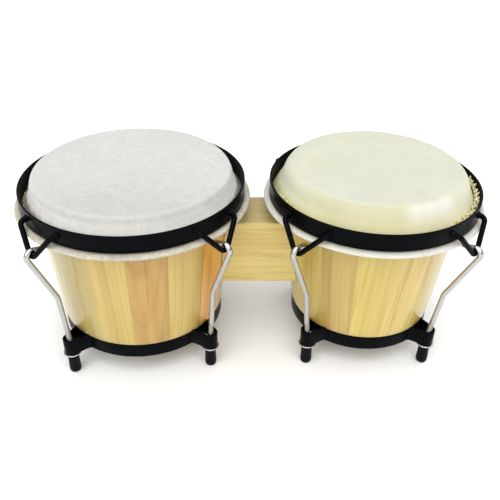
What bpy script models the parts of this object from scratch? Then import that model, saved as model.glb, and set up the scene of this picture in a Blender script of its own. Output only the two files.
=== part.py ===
"""A pair of bongo drums: two tapered wooden drums joined by a block, each with a skin head held by a rim.

Metres, +Z up. The origin is on the floor under the middle of the object. +X runs from the large drum to the
small one, and the player sits at -Y. Each drum's steel rim hangs on four J-shaped hooks. A nut under each lug
of the bottom ring pulls its hook down, and with it the rim, and every nut wears a rubber foot.
"""

from math import asin, atan2, cos, hypot, pi, radians, sin, sqrt, tan

import bmesh
import bpy
from mathutils import Matrix, Vector

GAP = 0.0003  # between pieces that touch
HAIR = 0.0001  # keeps two faces that are joined out of one plane
CUTTER_PAST = 0.010  # how far a cutter runs beyond what it cuts

# Both drums
AXIS_DISTANCE = 0.2168
LARGE_AXIS_X = -0.1058
SMALL_AXIS_X = LARGE_AXIS_X + AXIS_DISTANCE
SKIN = 0.0012
SHELL_BOTTOM_Z = 0.0255
SHELL_WALL = 0.009
INNER_CHAMFER = (0.0015, 0.003)  # of the bearing edge, across and down
WALL_THICKENS_Z = 0.150  # above this the wall may be thicker, to carry the bearing edge's rounding
COLLAR_END_Z = 0.1575

# Steel bands
BAND_WALL = 0.002
RIM_HEIGHT = 0.0157
RING_BOTTOM_Z = 0.0242
RING_HEIGHT = 0.0145
RING_TOP_Z = RING_BOTTOM_Z + RING_HEIGHT

# Lugs of the bottom ring
LUG_HEIGHT = 0.0158
LUG_PLATE = 0.0018
LUG_ROOT_PLATE = 0.00185  # the same plate, measured along the ring where it leaves at a slant
LUG_NOSE = 0.0069  # outer radius around the hook's rod
LUG_HALF_WIDTH = 0.0100  # where it leaves the ring

# Ears of the rim, bent from round bar
EAR_BAR = 0.0023
EAR_CORNER_BEND = 0.0048
EAR_TIP_BEND = 0.0050

# Hooks, nuts, washers and feet: M5 thread
ROD = 0.00245
HOOK_ARC = EAR_BAR + GAP + ROD
HOOK_END_Z = 0.0070
HOOK_KINK_Z = 0.0270
HOOK_BEND = 0.0200
HOOK_POINT = 0.0120
HOOK_ARC_END = radians(100)  # past the top of the arc, so that the point dips inwards
WASHER_RADIUS = 0.0082
WASHER_THICKNESS = 0.0014
WASHER_TOP_Z = RING_BOTTOM_Z - GAP
HOLE = ROD + 0.00040
NUT_ACROSS_FLATS = 0.0080
NUT_HEIGHT = 0.0050
NUT_TOP_Z = WASHER_TOP_Z - WASHER_THICKNESS - GAP
FOOT_RADIUS = 0.0055
FOOT_TOP_Z = 0.0186
FOOT_BASE = 0.0025
FOOT_ROUNDING = 0.0022
NUT_POCKET = 0.00485
NUT_POCKET_Z = NUT_TOP_Z - NUT_HEIGHT - GAP

# Bridge block and its bolts
BLOCK_BOTTOM_Z = 0.0717
BLOCK_TOP_Z = 0.1365
BLOCK_DEPTH = 0.0490
BOLT_RADIUS = 0.0030
BOLT_HEAD_RADIUS = 0.0055
BOLT_HEAD_HEIGHT = 0.0040
BOLT_HEIGHTS = {"upper": 0.1190, "lower": 0.0890}
BOLT_IN_BLOCK = 0.018
BOLT_WASHER_RADIUS = 0.0080
BOLT_WASHER_THICKNESS = 0.0012
BOLT_WASHER_STANDOFF = 0.0016  # a flat washer bridges the hollow of the wall

RING_STEPS = 40  # sides of a turned ring
ROUND_STEPS = 12  # sides of a small turned piece
SHOULDER_STEPS = 3

# What differs between the two drums. foot is the radius of the circle that the rods' lower ends stand on,
# slope is the shell's gain in radius per metre of height, head_top is the head's height, and shoulder is how
# far the head rounds inwards and down from there over the bearing edge. ear_leg is half the distance between an ear's legs at the band. bend, of the hooks, ear_tip
# and ear_corner are (radius, height) or radius, at the middle of the bar.
DRUMS = {
    "large": {
        "x": LARGE_AXIS_X, "turn": radians(3.6), "rim": 0.1000, "rim_top": 0.1702, "ring": 0.0771,
        "shell_low": 0.0774, "slope": 0.0894, "foot": 0.0906, "bend": (0.0950, 0.0890),
        "ear_tip": (0.1113, 0.1402), "ear_corner": 0.1037, "ear_leg": 0.0203,
        "edge_half_height": 0.0024, "head_top": 0.1800, "shoulder": (0.0050, 0.0160),
    },
    "small": {
        "x": SMALL_AXIS_X, "turn": 0.0, "rim": 0.0948, "rim_top": 0.1690, "ring": 0.0675,
        "shell_low": 0.0677, "slope": 0.1130, "foot": 0.0802, "bend": (0.0876, 0.0855),
        "ear_tip": (0.1063, 0.1380), "ear_corner": 0.0985, "ear_leg": 0.0215,
        "edge_half_height": 0.0022, "head_top": 0.1840, "shoulder": (0.0120, 0.0170),
    },
}
CORNERS = {
    "front_left": radians(-135), "front_right": radians(-45),
    "back_right": radians(45), "back_left": radians(135),
}
EDGE_HALF_WIDTH = 0.0034  # the skin's edge, rolled round the flesh ring
EDGE_OVERHANG = 0.0047  # how far the rolled edge stands out beyond the rim
EDGE_SKIN = 0.0009
EDGE_SLIT = radians(35)  # half of the opening that faces the shell
FLESH_RING_PLAY = 0.0005  # all round, inside the rolled edge

COLOURS = {
    "shell_wood": ((0.72, 0.50, 0.20), 0.30, 0.0),
    "block_wood": ((0.60, 0.44, 0.17), 0.45, 0.0),
    "skin": ((0.80, 0.78, 0.68), 0.60, 0.0),
    "black_steel": ((0.012, 0.013, 0.016), 0.38, 0.0),
    "chrome": ((0.80, 0.80, 0.80), 0.15, 1.0),
    "zinc": ((0.60, 0.60, 0.58), 0.35, 1.0),
    "rubber": ((0.012, 0.012, 0.012), 0.70, 0.0),
}


def material(name):
    made = bpy.data.materials.get(name)
    if made:
        return made
    colour, roughness, metallic = COLOURS[name]
    made = bpy.data.materials.new(name)
    made.use_nodes = True
    shader = made.node_tree.nodes["Principled BSDF"]
    shader.inputs["Base Color"].default_value = (*colour, 1.0)
    shader.inputs["Roughness"].default_value = roughness
    shader.inputs["Metallic"].default_value = metallic
    made.diffuse_color = (*colour, 1.0)
    return made


def add_object(name, data, parent=None, place=(0.0, 0.0, 0.0), look=None):
    obj = bpy.data.objects.new(name, data)
    bpy.context.scene.collection.objects.link(obj)
    obj.location = place
    obj.parent = parent
    if look:
        data.materials.append(material(look))
    return obj


def hide_helper(obj):
    obj.hide_render = True
    obj.display_type = "WIRE"
    return obj


def smooth(mesh, angle=radians(40)):
    mesh.shade_smooth()
    mesh.set_sharp_from_angle(angle=angle)


def mesh_of(name, build):
    """A mesh that the function build fills through bmesh, with its faces turned outwards."""
    bm = bmesh.new()
    build(bm)
    bmesh.ops.recalc_face_normals(bm, faces=bm.faces)
    mesh = bpy.data.meshes.new(name)
    bm.to_mesh(mesh)
    bm.free()
    smooth(mesh)
    return mesh


def turned_mesh(name, profile, steps):
    """The closed outline profile, a list of (radius, z), spun a full turn about the Z axis."""

    def build(bm):
        ring = [bm.verts.new((radius, 0.0, z)) for radius, z in profile]
        edges = [bm.edges.new((ring[i - 1], ring[i])) for i in range(len(ring))]
        bmesh.ops.spin(bm, geom=ring + edges, axis=(0, 0, 1), cent=(0, 0, 0), angle=2 * pi, steps=steps)
        bmesh.ops.remove_doubles(bm, verts=bm.verts, dist=1e-6)
        flat = [face for face in bm.faces if face.calc_area() < 1e-12]
        bmesh.ops.delete(bm, geom=flat, context="FACES")

    return mesh_of(name, build)


def prism_mesh(name, outline, low_z, high_z):
    """The closed outline, a list of (x, y), raised from low_z to high_z."""

    def build(bm):
        face = bm.faces.new([bm.verts.new((x, y, low_z)) for x, y in outline])
        raised = bmesh.ops.extrude_face_region(bm, geom=[face])["geom"]
        moved = [item for item in raised if isinstance(item, bmesh.types.BMVert)]
        bmesh.ops.translate(bm, verts=moved, vec=(0, 0, high_z - low_z))

    return mesh_of(name, build)


def box_mesh(name, low, high):
    outline = [(low[0], low[1]), (high[0], low[1]), (high[0], high[1]), (low[0], high[1])]
    return prism_mesh(name, outline, low[2], high[2])


def arc(centre, radius, start, end, steps):
    """Points of a flat arc, ends included."""
    angles = [start + (end - start) * i / steps for i in range(steps + 1)]
    return [(centre[0] + radius * cos(a), centre[1] + radius * sin(a)) for a in angles]


def rounded(points, bends, steps=5):
    """The route through points, with each inner corner replaced by an arc of its bend radius."""
    points = [Vector(p) for p in points]
    route = [points[0]]
    for before, corner, after, bend in zip(points, points[1:], points[2:], bends):
        back = (before - corner).normalized()
        ahead = (after - corner).normalized()
        half = back.angle(ahead) / 2
        centre = corner + (back + ahead).normalized() * bend / sin(half)
        first = (corner + back * bend / tan(half) - centre).normalized()
        last = (corner + ahead * bend / tan(half) - centre).normalized()
        for i in range(steps + 1):
            route.append(centre + first.slerp(last, i / steps) * bend)
    return route + [points[-1]]


def bar_mesh(name, route, radius):
    """A round bar along the route, closed at both ends."""
    curve = bpy.data.curves.new(name + "_route", "CURVE")
    curve.dimensions = "3D"
    curve.bevel_depth = radius
    curve.bevel_resolution = 2
    curve.use_fill_caps = True
    spline = curve.splines.new("POLY")
    spline.points.add(len(route) - 1)
    for point, place in zip(spline.points, route):
        point.co = (*place, 1.0)
    guide = bpy.data.objects.new(name + "_guide", curve)
    bpy.context.scene.collection.objects.link(guide)
    bpy.context.view_layer.update()
    swept = bpy.data.meshes.new_from_object(guide.evaluated_get(bpy.context.evaluated_depsgraph_get()))
    bpy.data.objects.remove(guide)
    bpy.data.curves.remove(curve)
    bm = bmesh.new()
    bm.from_mesh(swept)
    bpy.data.meshes.remove(swept)
    bmesh.ops.remove_doubles(bm, verts=bm.verts, dist=1e-6)
    bmesh.ops.recalc_face_normals(bm, faces=bm.faces)
    mesh = bpy.data.meshes.new(name)
    bm.to_mesh(mesh)
    bm.free()
    smooth(mesh)
    return mesh


def combine(obj, helper, operation):
    """A Boolean modifier on obj. The helper stays in the scene, hidden from renders."""
    modifier = obj.modifiers.new(operation.lower() + "_" + helper.name, "BOOLEAN")
    modifier.operation = operation
    modifier.solver = "EXACT"
    modifier.object = hide_helper(helper)


# ---------------------------------------------------------------- wooden shells


def shell_radius(drum, z):
    """Outer radius of the tapered shell at height z."""
    return drum["shell_low"] + drum["slope"] * (z - RING_TOP_Z)


def shoulder(outer, low, reach, drop):
    """The rounded upper edge in section, from the top down to the full radius."""
    points = []
    for step in range(SHOULDER_STEPS + 1):
        a = pi / 2 * (1 - step / SHOULDER_STEPS)
        points.append((outer - reach + reach * cos(a), low + drop * sin(a)))
    return points


def shell_profile(drum):
    """Rounded bearing edge, straight taper, rebate for the bottom ring, and the wall's inner face."""
    reach, drop = drum["shoulder"]
    rebate = drum["ring"] - BAND_WALL - GAP
    seat = RING_TOP_Z + GAP
    top = drum["head_top"] - SKIN - GAP
    edge_low = drum["head_top"] - drop
    edge = shoulder(shell_radius(drum, edge_low), edge_low, reach - SKIN, top - edge_low)
    outside = edge + [(shell_radius(drum, seat), seat), (rebate, seat), (rebate, SHELL_BOTTOM_Z)]
    inner_low = shell_radius(drum, SHELL_BOTTOM_Z) - SHELL_WALL
    inner_middle = shell_radius(drum, WALL_THICKENS_Z) - SHELL_WALL
    across, down = INNER_CHAMFER
    inner_top = min(shell_radius(drum, top) - SHELL_WALL, edge[0][0] - across)
    return outside + [(inner_low, SHELL_BOTTOM_Z), (inner_middle, WALL_THICKENS_Z), (inner_top, top - down)]


def make_shell(name, drum, axis):
    mesh = turned_mesh("shell_" + name, shell_profile(drum), RING_STEPS)
    add_object("shell_" + name, mesh, axis, look="shell_wood")


def make_head(name, drum, axis):
    """The skin over the bearing edge, down to just above the rolled edge."""
    reach, drop = drum["shoulder"]
    top = drum["head_top"]
    edge_low = top - drop
    outer = shell_radius(drum, edge_low) + GAP + SKIN
    collar = drum["rim"] - BAND_WALL - 2 * SKIN
    outside = [(0.0, top)] + shoulder(outer, edge_low, reach, drop) + [(collar, COLLAR_END_Z)]
    under = shoulder(outer - SKIN, edge_low, reach - SKIN, drop - SKIN)
    inside = [(collar - SKIN, COLLAR_END_Z)] + under[::-1] + [(0.0, top - SKIN)]
    mesh = turned_mesh("head_" + name, outside + inside, RING_STEPS)
    add_object("head_" + name, mesh, axis, look="skin")


# ---------------------------------------------------------------- rim, its ears, and the skin's rolled edge


def ear_route(drum):
    """From inside the band's wall out to the corner, down to the tip of the V and back, facing +X."""
    z = drum["rim_top"] - RIM_HEIGHT / 2
    leg = drum["ear_leg"]
    tip, tip_z = drum["ear_tip"]
    root = sqrt((drum["rim"] - BAND_WALL / 2) ** 2 - leg**2)
    half_angle = atan2(leg, z - tip_z)
    apex_z = tip_z - EAR_TIP_BEND * (1 / sin(half_angle) - 1)
    corner = drum["ear_corner"]
    points = [(root, -leg, z), (corner, -leg, z), (tip, 0, apex_z), (corner, leg, z), (root, leg, z)]
    return rounded(points, [EAR_CORNER_BEND, EAR_TIP_BEND, EAR_CORNER_BEND], 4)


def make_rim(name, drum, slider):
    outer = drum["rim"]
    inner = outer - BAND_WALL
    top = drum["rim_top"]
    low = top - RIM_HEIGHT
    band = turned_mesh("rim_" + name, [(outer, top), (outer, low), (inner, low), (inner, top)], RING_STEPS)
    rim = add_object("rim_" + name, band, slider, look="black_steel")
    ear = bar_mesh("ear_" + name, ear_route(drum), EAR_BAR)
    for corner, angle in CORNERS.items():
        helper = add_object(f"ear_{name}_{corner}", ear, slider)
        helper.rotation_euler.z = angle + drum["turn"]
        combine(rim, helper, "UNION")


def make_rolled_edge(name, drum, slider):
    """The skin's edge, a C in section open towards the shell, and the steel flesh ring inside it."""
    half_height = drum["edge_half_height"]
    centre = drum["rim"] + EDGE_OVERHANG - EDGE_HALF_WIDTH
    z = drum["rim_top"] - RIM_HEIGHT - GAP - half_height

    def oval(inset, start, end, steps):
        angles = [start + (end - start) * i / steps for i in range(steps + 1)]
        wide = EDGE_HALF_WIDTH - inset
        tall = half_height - inset
        return [(centre + wide * cos(a), z + tall * sin(a)) for a in angles]

    opening = pi - EDGE_SLIT
    section = oval(0.0, opening, -opening, 6) + oval(EDGE_SKIN, -opening, opening, 4)
    edge = turned_mesh("head_edge_" + name, section, RING_STEPS)
    add_object("head_edge_" + name, edge, slider, look="skin")
    hexagon = oval(EDGE_SKIN + FLESH_RING_PLAY, pi, -2 * pi / 3, 5)
    ring = turned_mesh("flesh_ring_" + name, hexagon, RING_STEPS)
    add_object("flesh_ring_" + name, ring, slider, look="zinc")


# ---------------------------------------------------------------- hooks and what holds them


def hook_route(drum):
    """Up from the foot, out along the shell, over the tip of the ear and inwards, facing +X."""
    bend = Vector(drum["bend"])
    ear = ear_route(drum)
    lowest = ear[len(ear) // 2]
    tip = Vector((lowest.x, lowest.z))
    rise = tip - bend
    slope = atan2(rise.y, rise.x) - asin(HOOK_ARC / rise.length)
    over = arc(tip, HOOK_ARC, slope - pi / 2, HOOK_ARC_END, 6)
    leave = HOOK_ARC_END + pi / 2
    point = (over[-1][0] + HOOK_POINT * cos(leave), over[-1][1] + HOOK_POINT * sin(leave))
    lower = [(drum["foot"], HOOK_END_Z), (drum["foot"], HOOK_KINK_Z), tuple(bend), over[0]]
    route = rounded([(r, 0.0, z) for r, z in lower], [HOOK_BEND, HOOK_BEND], 3)
    return [tuple(p) for p in route] + [(r, 0.0, z) for r, z in over[1:] + [point]]


def make_hooks(name, drum, slider):
    mesh = bar_mesh("hook_" + name, hook_route(drum), ROD)
    for corner, angle in CORNERS.items():
        hook = add_object(f"hook_{name}_{corner}", mesh, slider)
        hook.rotation_euler.z = angle + drum["turn"]
    mesh.materials.append(material("chrome"))


def lug_outline(drum):
    """A strap that leaves the ring on both sides of the rod and passes round it, facing +X."""
    root = sqrt((drum["ring"] - BAND_WALL / 2) ** 2 - LUG_HALF_WIDTH**2)
    reach = drum["foot"] - root

    def side(radius, half_width):
        """Angle at which the straight side touches the nose of this radius."""
        distance = hypot(reach, half_width)
        return atan2(half_width, -reach) - asin(sqrt(1 - (radius / distance) ** 2))

    outer = side(LUG_NOSE, LUG_HALF_WIDTH)
    inner_nose = LUG_NOSE - LUG_PLATE
    inner_half = LUG_HALF_WIDTH - LUG_ROOT_PLATE
    inner = side(inner_nose, inner_half)
    nose = (drum["foot"], 0.0)
    outline = [(root, -LUG_HALF_WIDTH)] + arc(nose, LUG_NOSE, -outer, outer, 8) + [(root, LUG_HALF_WIDTH)]
    return outline + [(root, inner_half)] + arc(nose, inner_nose, inner, -inner, 6) + [(root, -inner_half)]


def make_ring(name, drum, axis):
    outer = drum["ring"]
    inner = outer - BAND_WALL
    profile = [(outer, RING_TOP_Z), (outer, RING_BOTTOM_Z), (inner, RING_BOTTOM_Z), (inner, RING_TOP_Z)]
    band = turned_mesh("bottom_ring_" + name, profile, RING_STEPS)
    ring = add_object("bottom_ring_" + name, band, axis, look="black_steel")
    strap_low = RING_BOTTOM_Z + HAIR
    strap = prism_mesh("lug_" + name, lug_outline(drum), strap_low, strap_low + LUG_HEIGHT)
    for corner, angle in CORNERS.items():
        helper = add_object(f"lug_{name}_{corner}", strap, axis)
        helper.rotation_euler.z = angle + drum["turn"]
        combine(ring, helper, "UNION")
    # Above the band the straps stand clear of the shell.
    top = RING_BOTTOM_Z + 2 * LUG_HEIGHT
    low = RING_TOP_Z + HAIR
    clear = [(0, top), (shell_radius(drum, top) + GAP, top), (shell_radius(drum, low) + GAP, low), (0, low)]
    trim = turned_mesh("lug_trim_" + name, clear, RING_STEPS)
    combine(ring, add_object("lug_trim_" + name, trim, axis), "DIFFERENCE")


def washer_mesh(name, radius, hole, thickness):
    profile = [(radius, 0.0), (radius, -thickness), (hole, -thickness), (hole, 0.0)]
    return turned_mesh(name, profile, ROUND_STEPS)


def nut_mesh():
    """A hexagonal nut with its top face at z = 0 and a round hole."""
    corner = NUT_ACROSS_FLATS / sqrt(3)

    def build(bm):
        rings = []
        for z in (0.0, -NUT_HEIGHT):
            outside = [bm.verts.new((corner * cos(a), corner * sin(a), z)) for a in sixths]
            inside = [bm.verts.new((HOLE * cos(a), HOLE * sin(a), z)) for a in twelfths]
            rings.append((outside, inside))
        (top_out, top_in), (low_out, low_in) = rings
        for i in range(6):
            j = (i + 1) % 6
            bm.faces.new((top_out[i], low_out[i], low_out[j], top_out[j]))
            for out_ring, in_ring in rings:
                a, b, c = in_ring[2 * i], in_ring[2 * i + 1], in_ring[(2 * i + 2) % 12]
                bm.faces.new((out_ring[i], out_ring[j], c, b, a))
        for i in range(12):
            j = (i + 1) % 12
            bm.faces.new((top_in[i], top_in[j], low_in[j], low_in[i]))

    sixths = [i * pi / 3 for i in range(6)]
    twelfths = [i * pi / 6 for i in range(12)]
    return mesh_of("nut", build)


def foot_mesh():
    """A rubber cap with a round bottom edge, a bore for the rod's end and a pocket for the nut."""
    flat = FOOT_RADIUS - FOOT_ROUNDING
    edge = arc((flat, FOOT_ROUNDING), FOOT_ROUNDING, 0.0, -pi / 2, 3)
    outside = [(FOOT_RADIUS, FOOT_TOP_Z)] + edge + [(0.0, 0.0)]
    inside = [
        (0.0, FOOT_BASE), (HOLE, FOOT_BASE), (HOLE, NUT_POCKET_Z),
        (NUT_POCKET, NUT_POCKET_Z), (NUT_POCKET, FOOT_TOP_Z),
    ]
    return turned_mesh("foot", outside + inside, ROUND_STEPS)


def make_tuners(name, drum, axis, shared):
    """A washer under each lug, and on each rod's axis an empty that carries the nut and the foot."""
    for corner, angle in CORNERS.items():
        turn = angle + drum["turn"]
        place = Vector((drum["foot"] * cos(turn), drum["foot"] * sin(turn), 0.0))
        washer = add_object(f"washer_{name}_{corner}", shared["washer"], axis, place)
        washer.location.z = WASHER_TOP_Z
        pivot = add_object(f"tuner_{name}_{corner}", None, axis, place)
        pivot.rotation_euler.z = turn
        add_object(f"nut_{name}_{corner}", shared["nut"], pivot, (0, 0, NUT_TOP_Z))
        add_object(f"foot_{name}_{corner}", shared["foot"], pivot)


# ---------------------------------------------------------------- bridge block


def make_block(axes):
    """A block between the drums, with its ends hollowed to fit the shells."""
    half = BLOCK_DEPTH / 2
    low = (LARGE_AXIS_X, -half, BLOCK_BOTTOM_Z)
    high = (SMALL_AXIS_X, half, BLOCK_TOP_Z)
    block = add_object("bridge_block", box_mesh("bridge_block", low, high), look="block_wood")
    top_z = BLOCK_TOP_Z + CUTTER_PAST
    low_z = BLOCK_BOTTOM_Z - CUTTER_PAST
    for name, drum in DRUMS.items():
        top = shell_radius(drum, top_z) + GAP
        bottom = shell_radius(drum, low_z) + GAP
        hollow = [(0, top_z), (top, top_z), (bottom, low_z), (0, low_z)]
        cone = turned_mesh("block_hollow_" + name, hollow, RING_STEPS)
        combine(block, add_object("block_hollow_" + name, cone, axes[name]), "DIFFERENCE")
    return block


def add_bolt(name, drum, level, block):
    """A bolt from inside the shell into the block, its flat washer, and the hole drilled through both."""
    z = BOLT_HEIGHTS[level]
    towards = 1 if name == "large" else -1
    seat = shell_radius(drum, z) - SHELL_WALL - BOLT_WASHER_STANDOFF - BOLT_WASHER_THICKNESS
    length = shell_radius(drum, z) + BOLT_IN_BLOCK - seat
    facing = Matrix.Rotation(towards * pi / 2, 4, "Y")
    place = Vector((drum["x"] + towards * seat, 0, z))
    label = f"{name}_{level}"

    head_end = -GAP - BOLT_HEAD_HEIGHT
    head = [(BOLT_HEAD_RADIUS, -GAP), (BOLT_HEAD_RADIUS, head_end), (0, head_end)]
    shank = [(0, length), (BOLT_RADIUS, length), (BOLT_RADIUS, -GAP)]
    bolt = turned_mesh("bridge_bolt_" + label, shank + head, ROUND_STEPS)
    bolt.transform(facing)
    add_object(bolt.name, bolt, None, place, look="zinc")

    hole = BOLT_RADIUS + GAP
    washer = washer_mesh("bridge_washer_" + label, BOLT_WASHER_RADIUS, hole, BOLT_WASHER_THICKNESS)
    washer.transform(facing @ Matrix.Translation((0, 0, BOLT_WASHER_THICKNESS)))
    add_object(washer.name, washer, None, place, look="zinc")

    deep = length + GAP
    bore = [(0, deep), (hole, deep), (hole, -CUTTER_PAST), (0, -CUTTER_PAST)]
    drill = turned_mesh("drill_" + label, bore, ROUND_STEPS)
    drill.transform(facing)
    helper = add_object(drill.name, drill, None, place)
    combine(bpy.data.objects["shell_" + name], helper, "DIFFERENCE")
    combine(block, helper, "DIFFERENCE")


def main():
    for obj in list(bpy.data.objects):
        bpy.data.objects.remove(obj)
    shared = {
        "washer": washer_mesh("washer", WASHER_RADIUS, HOLE, WASHER_THICKNESS),
        "nut": nut_mesh(),
        "foot": foot_mesh(),
    }
    for name, look in (("washer", "chrome"), ("nut", "chrome"), ("foot", "rubber")):
        shared[name].materials.append(material(look))
    axes = {}
    for name, drum in DRUMS.items():
        axes[name] = add_object("axis_" + name, None, place=(drum["x"], 0, 0))
        slider = add_object("rim_slide_" + name, None, axes[name])
        make_shell(name, drum, axes[name])
        make_head(name, drum, axes[name])
        make_rim(name, drum, slider)
        make_rolled_edge(name, drum, slider)
        make_hooks(name, drum, slider)
        make_ring(name, drum, axes[name])
        make_tuners(name, drum, axes[name], shared)
    block = make_block(axes)
    for name, drum in DRUMS.items():
        for level in BOLT_HEIGHTS:
            add_bolt(name, drum, level, block)


main()
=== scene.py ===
"""The looks of a pair of bongo drums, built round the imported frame.

Metres, +Z up. Most make_ functions make one kind of piece for one drum: the staves, the rawhide with its
rolled edge, the rim, a hook with its thread, the ring with its lugs, and the small parts under them.
"""

from math import acos, asin, atan2, cos, degrees, exp, hypot, pi, radians, sin, sqrt, tan

import bpy
import numpy as np
from mathutils import Matrix, Vector, noise


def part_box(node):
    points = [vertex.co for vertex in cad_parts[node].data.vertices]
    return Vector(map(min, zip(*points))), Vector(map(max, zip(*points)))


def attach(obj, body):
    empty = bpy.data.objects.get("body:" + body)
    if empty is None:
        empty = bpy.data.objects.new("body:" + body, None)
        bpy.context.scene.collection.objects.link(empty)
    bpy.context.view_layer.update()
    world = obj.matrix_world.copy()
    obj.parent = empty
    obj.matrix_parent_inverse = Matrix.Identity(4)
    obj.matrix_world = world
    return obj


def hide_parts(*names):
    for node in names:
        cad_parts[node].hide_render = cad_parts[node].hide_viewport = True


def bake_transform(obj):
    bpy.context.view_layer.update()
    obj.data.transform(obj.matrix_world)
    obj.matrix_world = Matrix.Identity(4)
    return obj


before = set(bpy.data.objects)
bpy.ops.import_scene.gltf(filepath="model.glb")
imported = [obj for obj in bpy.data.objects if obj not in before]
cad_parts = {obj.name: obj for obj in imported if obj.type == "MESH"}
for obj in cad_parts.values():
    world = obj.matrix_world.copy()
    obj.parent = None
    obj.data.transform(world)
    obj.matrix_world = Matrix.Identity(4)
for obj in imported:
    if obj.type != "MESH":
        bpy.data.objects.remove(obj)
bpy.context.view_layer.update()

MM = 0.001
GAP = 0.3 * MM
ROUND = 240  # steps round a drum
SMALL_ROUND = 64  # steps round a washer or a foot
STAVES = 15
CORNERS = ("front_left", "front_right", "back_right", "back_left")

# The CAD's design values, where a node's box doesn't give them
BAND_WALL = 2.0 * MM
RING_HEIGHT = 14.5 * MM
SHELL_WALL = 9.0 * MM
WALL_THICKENS_Z = 150 * MM
INNER_CHAMFER = (1.5 * MM, 3 * MM)  # of the bearing edge, across and down
EDGE_HALF_WIDTH = 3.4 * MM
ROD = 2.45 * MM
HOLE = ROD + 0.4 * MM
HOOK_KINK_Z = 27 * MM
HOOK_BEND = 20 * MM
HOOK_POINT = 12 * MM
HOOK_ARC_END = radians(100)
EAR_BAR = 2.3 * MM
EAR_CORNER_BEND = 4.8 * MM
EAR_TIP_BEND = 5.0 * MM
LUG_HEIGHT = 15.8 * MM
LUG_PLATE = 1.8 * MM
LUG_NOSE = 6.9 * MM
LUG_HALF_WIDTH = 10.0 * MM
NUT_HALF = 4.0 * MM
NUT_POCKET = 4.85 * MM
FOOT_RADIUS = 5.5 * MM
FOOT_BASE = 2.5 * MM
BOLT_HEAD_HEIGHT = 4.0 * MM
BOLT_RADIUS = 3 * MM
BOLT_WASHER_RADIUS = 8.0 * MM

# Finer shapes that only the visual model has
BEARING_EDGE_INSET = 1.2 * MM  # the wood's rounding is this much tighter than the skin's
SHELL_EASE = 0.8 * MM
GLUE_GROOVE = 0.16 * MM
SKIN = 1.0 * MM
SKIN_SAG = 0.2 * MM
SHOULDER_END = radians(24)  # where the skin leaves the bearing edge and flares out to the flesh ring
EDGE_CURL = (radians(172), radians(310))  # where the rolled edge starts round the flesh ring, and its turn
BAND_EASE = 0.6 * MM
PITCH = 0.8 * MM
THREAD_DEPTH = 0.30 * MM
HOOK_THREAD_ABOVE_LUG = 9 * MM
HOOK_NOSE = 3 * MM
HOOK_FLAT = 11 * MM  # how far from the tip the rod starts to flatten
HOOK_FLATTENED = 0.42
HOOK_STEP = 1.3 * MM
LUG_STEPS = 22
BOLT_HEAD_HALF = 4.75 * MM  # half across the flats, so that the hexagon fits in the CAD's round head
BOLT_WASHER_HOLE = 3.3 * MM
BLOCK_EASE = 1.3 * MM

DRUMS = {
    "large": {
        "slope": 0.0894,
        "bend": (95.0 * MM, 89.0 * MM),
        "ear_tip": (111.3 * MM, 140.2 * MM),
        "ear_corner": 103.7 * MM,
        "ear_leg": 20.3 * MM,
        "shoulder": (5.0 * MM, 16.0 * MM),
        "stave_start": radians(-89.5),
    },
    "small": {
        "slope": 0.1130,
        "bend": (87.6 * MM, 85.5 * MM),
        "ear_tip": (106.3 * MM, 138.0 * MM),
        "ear_corner": 98.5 * MM,
        "ear_leg": 21.5 * MM,
        "shoulder": (12.0 * MM, 17.0 * MM),
        "stave_start": radians(-107.0),
    },
}


def srgb(red, green, blue):
    """A linear colour from the 0 to 255 values a screen shows."""
    linear = []
    for value in (red, green, blue):
        v = value / 255
        linear.append(v / 12.92 if v <= 0.04045 else ((v + 0.055) / 1.055) ** 2.4)
    return tuple(linear)


def radius_and_heights(node):
    """A round node's radius, underside and top, from its box."""
    low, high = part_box(node)
    return (high[0] - low[0]) / 2, low[2], high[2]


class Drum:
    """One drum's measures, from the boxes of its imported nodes."""

    def __init__(self, name):
        self.name = name
        self.__dict__.update(DRUMS[name])
        low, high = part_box("shell_" + name)
        self.x = (low[0] + high[0]) / 2
        self.shell_radius_top, self.shell_low, self.shell_high = radius_and_heights("shell_" + name)
        self.collar_radius, self.collar_end, self.top = radius_and_heights("head_" + name)
        self.edge_start = self.top - self.shoulder[1]
        self.edge_radius, self.edge_low, self.edge_high = radius_and_heights("head_edge_" + name)
        self.rim_radius, _, self.rim_top = radius_and_heights("rim_" + name)
        self.rim_low = self.edge_high + GAP
        self.ring_radius, self.ring_low, _ = radius_and_heights("bottom_ring_" + name)
        self.ring_high = self.ring_low + RING_HEIGHT
        self.rods = {}
        for corner in CORNERS:
            low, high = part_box(f"foot_{name}_{corner}")
            self.rods[corner] = ((low[0] + high[0]) / 2, (low[1] + high[1]) / 2)

    def shell_radius(self, z):
        """The tapered outside's radius at a height."""
        return self.shell_radius_top - self.slope * (self.edge_start - z)

    def rod_angle(self, corner):
        x, y = self.rods[corner]
        return atan2(y, x - self.x)

    def foot_circle(self, corner):
        """How far the corner's foot stands from the drum's axis."""
        x, y = self.rods[corner]
        return hypot(x - self.x, y)

    def facing(self, corner):
        """Turns what is drawn facing +X on the Z axis to this corner of this drum."""
        return Matrix.Translation((self.x, 0, 0)) @ Matrix.Rotation(self.rod_angle(corner), 4, "Z")


# ---- mesh building


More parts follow.
